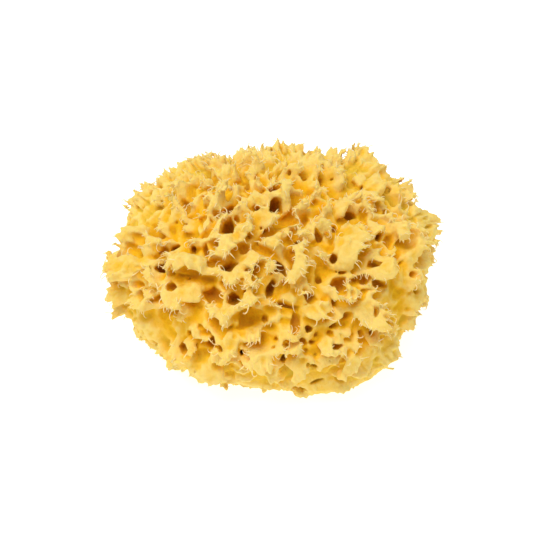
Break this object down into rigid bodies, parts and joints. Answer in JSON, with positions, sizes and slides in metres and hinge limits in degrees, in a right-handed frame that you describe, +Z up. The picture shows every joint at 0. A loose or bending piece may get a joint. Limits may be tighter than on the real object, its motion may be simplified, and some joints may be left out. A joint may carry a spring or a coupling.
{
  "type": "natural sea sponge",
  "caption": "Natural bath sponge: a low oval dome of ragged, leaning lobes with water holes between them, cut flat underneath to rest on.",
  "frame": {"origin": "middle of the sponge's outline at the level of the flat cut base", "axes": "+Z up out of the base, X along the sponge's longest extent, -Y the side the picture shows"},
  "size_m": [0.1383, 0.1218, 0.0746],
  "materials": {
    "spongin": "matt, soft, fibrous, straw yellow with amber hollows"
  },
  "bodies": {
    "root": {"sponge": "spongin"}
  },
  "joints": []
}
